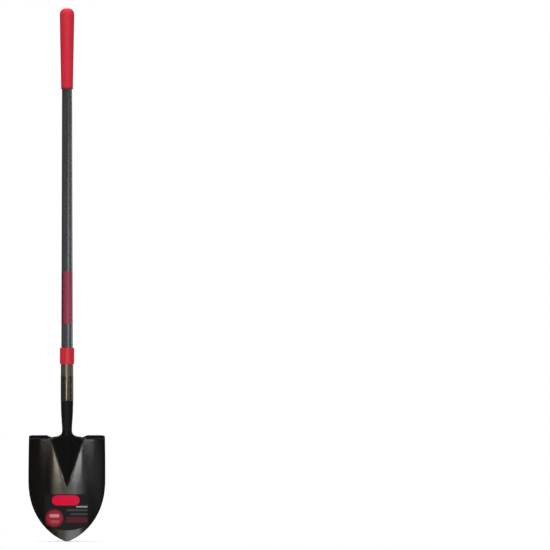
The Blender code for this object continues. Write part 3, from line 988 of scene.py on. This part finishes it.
def make_washer(material):
    low, high = node_box("rivet_washer")
    profile = [
        (high.x, -low.y),
        (high.x, -high.y),
        (RIVET_RADIUS + GAP, -high.y),
        (RIVET_RADIUS + GAP, -low.y),
    ]
    rounded = soften(profile, WASHER_EDGE, closed=True)
    bm = lay_along_y(turned(rounded, closed=True, segments=RIVET_SEGMENTS), RIVET_Z)
    washer = stand("back_washer", bm, "rivet_washer", material)
    weigh_normals(washer)


def corner_inset(from_end, corner):
    """How far a rounded corner of a film stands in from its side, at a distance from the film's end."""
    if from_end >= corner:
        return 0.0
    return corner - math.sqrt(corner**2 - (corner - from_end) ** 2)


def film_rows(length, corner, count):
    """Distances along a film from one end to the other, closer together in its rounded corners."""
    start = [corner * (1.0 - math.cos(turn)) for turn in spread(0.0, math.pi / 2, LABEL_CORNER_ROWS)]
    middle = spread(corner, length - corner, count)
    end = [length - along for along in reversed(start[:-1])]
    return [0.0] + start + middle + end + [length]


def make_pole_label():
    low, high = node_box("pole_label")
    length = high.z - low.z
    bm = bmesh.new()
    grid = []
    for along in film_rows(length, LABEL_CORNER, POLE_LABEL_ROWS):
        z = low.z + along
        radius = pole_radius(z) + FILM_GAP
        inset = corner_inset(min(along, length - along), LABEL_CORNER) / radius
        start = POLE_LABEL_FROM + inset
        end = POLE_LABEL_TO - inset
        row = []
        for j in range(POLE_LABEL_COLUMNS + 1):
            angle = start + (end - start) * j / POLE_LABEL_COLUMNS
            row.append(bm.verts.new(on_circle(radius, angle, z)))
        grid.append(row)
    add_patch(bm, grid)
    label = stand("pole_label_film", bm, "pole_label", pole_film())
    thicken(label, FILM_THICKNESS, 1.0)
    weigh_normals(label)


def make_blade_label():
    low, high = node_box("blade_label")
    half = high.x
    side_length = high.z - low.z - BLADE_LABEL_CORNER_RISE
    bm = bmesh.new()
    grid = []
    for along in film_rows(1.0, LABEL_CORNER / side_length, BLADE_LABEL_ROWS):
        from_end = min(along, 1.0 - along) * side_length
        reach = half - corner_inset(from_end, LABEL_CORNER)
        row = []
        for j in range(BLADE_LABEL_COLUMNS + 1):
            x = reach * (2.0 * j / BLADE_LABEL_COLUMNS - 1.0)
            bottom = low.z + BLADE_LABEL_CORNER_RISE * (x / half) ** 2
            z = bottom + (high.z - bottom) * along
            row.append(bm.verts.new((x, front_y(x, z) - FILM_GAP, z)))
        grid.append(row)
    add_patch(bm, grid)
    label = stand("blade_label_film", bm, "blade_label", blade_film())
    thicken(label, FILM_THICKNESS, 1.0)
    weigh_normals(label)


def finish_node(node, material):
    """Give a CAD node that stays its own material."""
    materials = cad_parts[node].data.materials
    materials.clear()
    materials.append(material)


# ---------------------------------------------------------------- studio


def aim(obj, target):
    obj.rotation_euler = (Vector(target) - obj.location).to_track_quat("-Z", "Y").to_euler()


def add_light(name, place, target, size, radiance, colour=WHITE, lit=None):
    """A rectangular soft light, unseen by the camera. Where lit is given, it reaches only those pieces."""
    data = bpy.data.lights.new(name, "AREA")
    data.shape = "RECTANGLE"
    data.size, data.size_y = size
    data.energy = math.pi * size[0] * size[1] * radiance
    data.color = colour
    light = bpy.data.objects.new(name, data)
    light.location = place
    light.visible_camera = False
    if lit:
        light.light_linking.receiver_collection = lit
    bpy.context.scene.collection.objects.link(light)
    aim(light, target)


def add_world():
    """White to the camera, and dim to the object, which the soft lights then shape."""
    world = bpy.data.worlds.new("studio")
    bpy.context.scene.world = world
    world.use_nodes = True
    tree = world.node_tree
    background = tree.nodes["Background"]
    path = tree.nodes.new("ShaderNodeLightPath")
    dimmed = tree.nodes.new("ShaderNodeMapRange")
    dimmed.inputs["To Min"].default_value = WORLD_ON_MATTE
    dimmed.inputs["To Max"].default_value = WORLD_IN_GLOSS
    tree.links.new(path.outputs["Is Glossy Ray"], dimmed.inputs["Value"])
    lit = tree.nodes.new("ShaderNodeMath")
    lit.operation = "MAXIMUM"
    tree.links.new(path.outputs["Is Camera Ray"], lit.inputs[0])
    tree.links.new(dimmed.outputs["Result"], lit.inputs[1])
    background.inputs["Color"].default_value = (1.0, 1.0, 1.0, 1.0)
    tree.links.new(lit.outputs[0], background.inputs["Strength"])


def direction(azimuth, elevation):
    """A unit vector away from the tool, the azimuth turning from the front towards +X."""
    azimuth, elevation = math.radians(azimuth), math.radians(elevation)
    level = math.cos(elevation)
    return Vector((level * math.sin(azimuth), -level * math.cos(azimuth), math.sin(elevation)))


def panel_span(angles):
    """How long a panel is, across its distance, to fill that range of angles in degrees."""
    return 2.0 * PANEL_DISTANCE * math.tan(math.radians(angles[1] - angles[0]) / 2.0)


def add_panel(name, azimuths, elevations, radiance, colour=WHITE, lit=None):
    """A soft light that fills a range of azimuths and elevations in degrees, seen from the blade's middle."""
    blade_middle = Vector((0.0, AXIS.y, BLADE_MIDDLE_Z))
    towards = direction(sum(azimuths) / 2.0, sum(elevations) / 2.0)
    size = (panel_span(azimuths) * math.hypot(towards.x, towards.y), panel_span(elevations))
    place = blade_middle + PANEL_DISTANCE * towards
    add_light(name, place, blade_middle, size, radiance, colour, lit)


def add_side_light(name, place, size, radiance, colour=WHITE, lit=None):
    """A soft light that looks level at the pole's axis."""
    add_light(name, place, (0.0, AXIS.y, place[2]), size, radiance, colour, lit)


def gather(name, *pieces):
    """A collection of pieces that a light is kept to."""
    group = bpy.data.collections.new(name)
    for piece in pieces:
        group.objects.link(bpy.data.objects[piece])
    return group


def add_blade_lights():
    """Panels high in front, which the dished blade mirrors on both sides of the frog.

    A panel on the left shows on the blade's right half, and the other way round.
    """
    blade = gather("blade group", "blade_and_socket", "blade_label_film")
    add_panel("front softbox left", (-14.0, 0.0), (17.0, 26.0), 1.6)
    add_panel("front softbox right", (0.0, 11.0), (17.0, 26.0), 1.4, WARM)
    add_panel("tip light left", (-20.0, 0.0), (26.0, 36.0), 4.0, lit=blade)
    add_panel("tip light right", (0.0, 11.0), (26.0, 34.0), 1.2, WARM, blade)
    add_panel("front band left", (-19.0, -5.0), (17.0, 20.0), 12.0, lit=blade)
    add_panel("front band right", (5.0, 15.0), (17.0, 20.0), 13.0, WARM, blade)
    add_panel("left fade", (-25.0, -16.0), (20.0, 26.0), 0.8, lit=blade)
    add_panel("right fade", (11.0, 19.0), (20.0, 26.0), 1.2, WARM, blade)
    add_panel("shoulder light left", (-36.0, -21.0), (11.5, 14.5), 8.0, lit=blade)
    add_panel("shoulder light right", (19.0, 33.0), (11.5, 14.0), 8.0, WARM, blade)
    add_panel("right wing fill", (-48.0, -24.0), (15.0, 21.0), 0.35, lit=blade)


def add_pole_lights():
    """Upright highlights along the pole, and a fill for the ring and the pole's label."""
    pole = gather("pole group", "fibreglass_pole", "pole_label_film")
    reds = gather("ring and label group", "plastic_ring", "pole_label_film")
    add_side_light("side panel", (1.30, -2.70, 0.66), (2.2, 0.40), 5.4, COOL, pole)
    add_side_light("middle panel", (2.0, -2.25, 0.97), (0.9, 0.32), 5.0, COOL, pole)
    add_side_light("left panel", (-1.7, -2.45, 0.85), (1.3, 0.7), 0.7, COOL, pole)
    add_side_light("edge strip", (2.75, 1.1, 0.8), (0.8, 1.6), 4.2, COOL, pole)
    add_side_light("front panel", (0.2, -1.5, 0.6), (1.4, 1.1), 1.4, lit=reds)


def add_sleeve_lights():
    """A narrow highlight on the sleeve's lower part and a broader one above its step."""
    sleeve = gather("sleeve group", "steel_sleeve", "rivet_with_tail")
    add_side_light("low strip", (-0.60, -3.0, 0.42), (0.40, 0.16), 17.0, lit=sleeve)
    add_side_light("sleeve side panel", (1.75, -2.45, 0.45), (1.6, 0.3), 0.9, WARM, sleeve)
    add_side_light("sleeve top panel", (-0.35, -3.0, 0.49), (1.3, 0.06), 15.5, WARM, sleeve)
    add_side_light("sleeve edge strip", (2.75, 1.1, 0.45), (0.8, 0.3), 3.0, WARM, sleeve)


def add_grip_light():
    grip = gather("grip group", "rubber_grip")
    add_light("grip panel", (0.15, -1.5, 1.45), (0.0, AXIS.y, 1.36), (0.5, 0.5), 14.0, lit=grip)


def add_room_lights():
    """Soft light from above and behind, with more of it on the floor so that the floor stays white."""
    ground = gather("floor group", "floor")
    above = (0.0, 0.0, 3.5)
    floor_centre = (0.0, 0.0, 0.0)
    add_light("overhead", above, floor_centre, (3.0, 3.0), 3.0)
    add_light("floor light", above, floor_centre, (3.0, 3.0), 3.0, lit=ground)
    add_light("back softbox", (0.0, 5.0, 3.0), (0.0, 0.0, 0.6), (2.5, 2.0), 3.0)


def add_floor():
    """A round floor just under the tool."""
    bm = bmesh.new()
    bmesh.ops.create_circle(bm, cap_ends=True, segments=128, radius=FLOOR_RADIUS)
    mesh = bpy.data.meshes.new("floor")
    bm.to_mesh(mesh)
    bm.free()
    mesh.materials.append(pale_floor())
    floor = bpy.data.objects.new("floor", mesh)
    floor.location = (0.0, 0.0, CAD_BOX[0].z - FLOOR_DROP)
    bpy.context.scene.collection.objects.link(floor)


def add_camera():
    """A long lens from far in front, level and square on, with the tool at the picture's left."""
    data = bpy.data.cameras.new("camera")
    data.sensor_width = SENSOR
    data.lens = SENSOR * CAMERA_DISTANCE / VIEW_WIDTH
    data.clip_end = 2.0 * CAMERA_DISTANCE
    camera = bpy.data.objects.new("camera", data)
    camera.location = (CAMERA_SIDE, AXIS.y - CAMERA_DISTANCE, CAMERA_HEIGHT)
    camera.rotation_euler = (math.pi / 2, 0.0, 0.0)
    bpy.context.scene.collection.objects.link(camera)
    bpy.context.scene.camera = camera


def make_pieces():
    make_blade()
    make_sleeve()
    make_ring()
    make_pole()
    make_grip()
    steel = bright_steel()
    make_rivet(steel)
    make_washer(steel)
    make_pole_label()
    make_blade_label()
    finish_node("core_dowel", turned_wood())
    finish_node("end_plug", plug_plastic())


def make_studio():
    add_world()
    add_floor()
    add_blade_lights()
    add_pole_lights()
    add_sleeve_lights()
    add_grip_light()
    add_room_lights()
    add_camera()
    bpy.context.scene.view_settings.view_transform = "Standard"


make_pieces()
make_studio()
